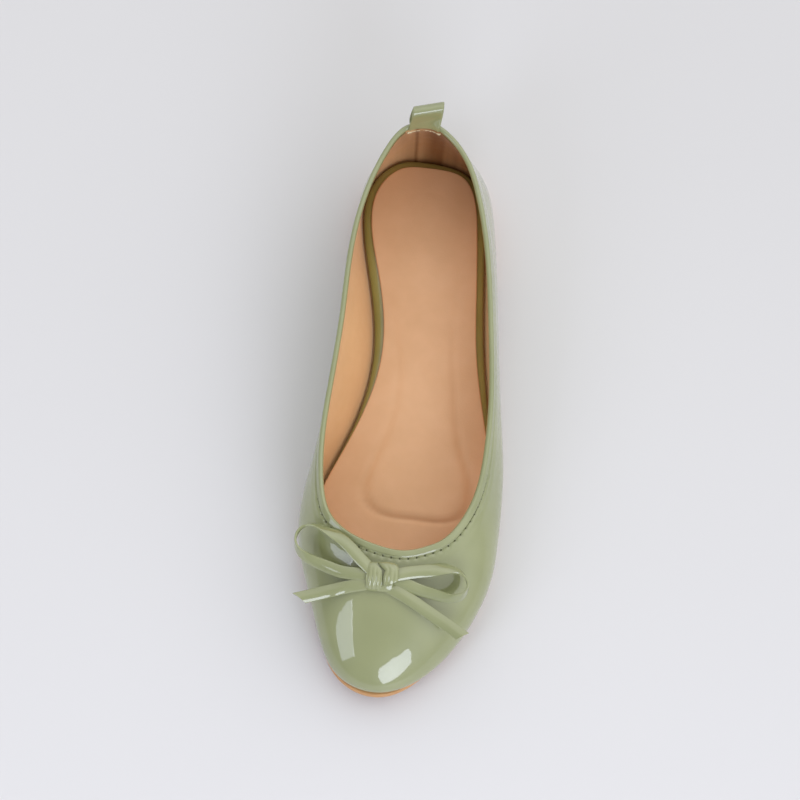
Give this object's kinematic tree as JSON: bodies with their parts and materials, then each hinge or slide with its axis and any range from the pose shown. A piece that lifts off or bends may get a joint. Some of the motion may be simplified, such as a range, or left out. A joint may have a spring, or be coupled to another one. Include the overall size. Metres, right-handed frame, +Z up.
{
  "type": "ballet flat",
  "caption": "Left ballet flat: round-toed patent upper with a bound topline and low ribbon bow, leather sock, heel pull loop, thin outsole and low block heel.",
  "frame": {"origin": "on the floor under the middle of the heel, where the heel's flat bottom face stands", "axes": "+Z up, +Y from the toe to the heel's back, +X to the outer (lateral) side of this left shoe"},
  "size_m": [0.0843, 0.2415, 0.0711],
  "materials": {
    "patent": "sage-green patent leather, high gloss",
    "insole_cover": "green patent cover of the insole's sloping edge",
    "sock": "matt tan leather",
    "sole": "matt tan rubber"
  },
  "bodies": {
    "root": {"bow_knot": "patent", "bow_loop_inner": "patent", "bow_loop_outer": "patent", "bow_tail_inner": "patent", "bow_tail_outer": "patent", "heel": "sole", "insole": "insole_cover", "insole_sock": "sock", "outsole": "sole", "pull_loop": "patent", "topline_binding": "patent", "upper": "patent"}
  },
  "joints": []
}
